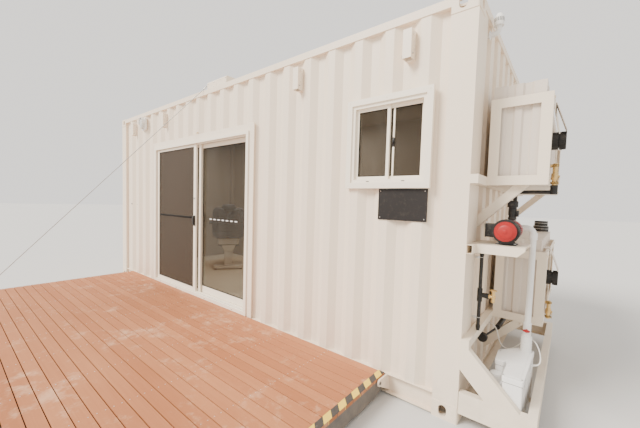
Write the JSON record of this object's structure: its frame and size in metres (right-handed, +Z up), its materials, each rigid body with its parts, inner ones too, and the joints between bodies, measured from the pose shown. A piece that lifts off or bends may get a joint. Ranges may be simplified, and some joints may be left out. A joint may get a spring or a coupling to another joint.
{
  "type": "container clinic",
  "caption": "Container building with a sliding glazed door, a window, a fold-down deck held by a stay, and water tanks, a pump and waste pipework on one end",
  "frame": {"origin": "at the base, under the middle of the whole object's box with the deck down", "axes": "+X along the long front to the right, towards the service end; +Y from the deck into the container; +Z up"},
  "size_m": [6.528, 4.789, 2.9862],
  "materials": {
    "corner_castings": "satin",
    "corner_posts": "satin",
    "top_rails": "satin",
    "bottom_rails": "satin",
    "cross_members": "matte",
    "floor": "satin",
    "roof": "satin",
    "front_wall_left": "satin",
    "front_wall_over_door": "satin",
    "front_wall_right": "satin",
    "back_wall": "satin",
    "left_end_wall": "satin",
    "right_end_wall": "satin",
    "wall_linings": "satin",
    "ceiling": "satin",
    "door_trim": "satin",
    "door_frame": "satin",
    "fixed_panes": "clear",
    "window_frame": "satin",
    "notice_board": "gloss",
    "wall_light": "gloss",
    "deck_sockets": "satin",
    "roof_winch": "satin",
    "stay_cable": "stranded",
    "tank_rack": "satin",
    "tank_cages": "satin",
    "tank_shells": "satin",
    "tank_lids": "satin",
    "filler_caps": "matte",
    "black_pipes": "satin",
    "brass_valves": "satin",
    "guard_frame": "satin",
    "pump_shelf": "satin",
    "water_pump": "satin",
    "waste_pipe": "satin",
    "waste_box": "gloss",
    "vent_cowl": "satin",
    "power_cord": "satin",
    "treatment_chair": "satin",
    "deck_frame": "satin",
    "deck_boards": "matte",
    "screen_door_frame": "satin",
    "screen_mesh": "woven",
    "sliding_door_frame": "satin",
    "sliding_door_pane": "clear"
  },
  "bodies": {
    "container": {"corner_castings": "corner_castings", "corner_posts": "corner_posts", "top_rails": "top_rails", "bottom_rails": "bottom_rails", "cross_members": "cross_members", "floor": "floor", "roof": "roof", "front_wall_left": "front_wall_left", "front_wall_over_door": "front_wall_over_door", "front_wall_right": "front_wall_right", "back_wall": "back_wall", "left_end_wall": "left_end_wall", "right_end_wall": "right_end_wall", "wall_linings": "wall_linings", "ceiling": "ceiling", "door_trim": "door_trim", "door_frame": "door_frame", "fixed_panes": "fixed_panes", "window_frame": "window_frame", "notice_board": "notice_board", "wall_light": "wall_light", "deck_sockets": "deck_sockets", "roof_winch": "roof_winch", "stay_cable": "stay_cable", "tank_rack": "tank_rack", "tank_cages": "tank_cages", "tank_shells": "tank_shells", "tank_lids": "tank_lids", "filler_caps": "filler_caps", "black_pipes": "black_pipes", "brass_valves": "brass_valves", "guard_frame": "guard_frame", "pump_shelf": "pump_shelf", "water_pump": "water_pump", "waste_pipe": "waste_pipe", "waste_box": "waste_box", "vent_cowl": "vent_cowl", "power_cord": "power_cord", "treatment_chair": "treatment_chair"},
    "deck": {"deck_frame": "deck_frame", "deck_boards": "deck_boards"},
    "screen_door": {"screen_door_frame": "screen_door_frame", "screen_mesh": "screen_mesh"},
    "sliding_door": {"sliding_door_frame": "sliding_door_frame", "sliding_door_pane": "sliding_door_pane"}
  },
  "joints": [
    {"name": "deck_fold", "type": "hinge", "parent": "container", "child": "deck", "pos_m": [-0.234, -0.1585, 0.138], "axis": [-1, 0, 0], "range_deg": [0, 90], "deforming": ["stay_cable"]},
    {"name": "screen_slide", "type": "slide", "parent": "container", "child": "screen_door", "axis": [1, 0, 0], "range_m": [0, 1.09]},
    {"name": "glass_slide", "type": "slide", "parent": "container", "child": "sliding_door", "axis": [-1, 0, 0], "range_m": [0, 1.1]}
  ]
}
